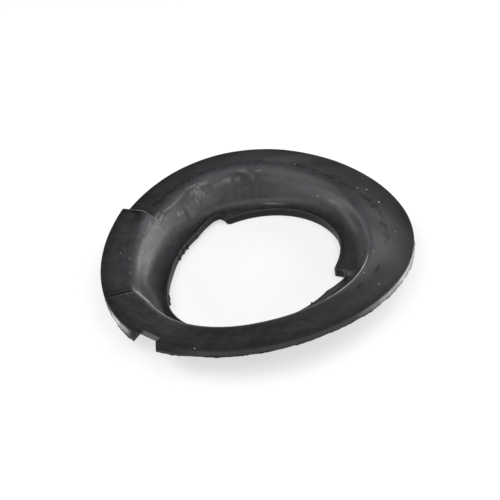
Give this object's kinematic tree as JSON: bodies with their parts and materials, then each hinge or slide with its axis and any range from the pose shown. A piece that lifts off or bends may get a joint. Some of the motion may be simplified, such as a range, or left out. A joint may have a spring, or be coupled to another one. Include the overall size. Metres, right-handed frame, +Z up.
{
  "type": "upper spring mount",
  "caption": "Moulded rubber ring that seats and cushions the upper end of a suspension coil spring, with a wavy land, a coil-end step, a locating notch and a hub.",
  "frame": {"origin": "centre of the ring in plan, level with the foot of the hub's deep side", "axes": "+Z up through the bore from the hub's foot to the spring's land, -Y towards the viewer and +X to the right in the picture"},
  "size_m": [0.15, 0.15, 0.0228],
  "materials": {
    "rubber": "moulded, dull with a faint bloom"
  },
  "bodies": {
    "root": {"spring_mount_ring": "rubber"}
  },
  "joints": []
}
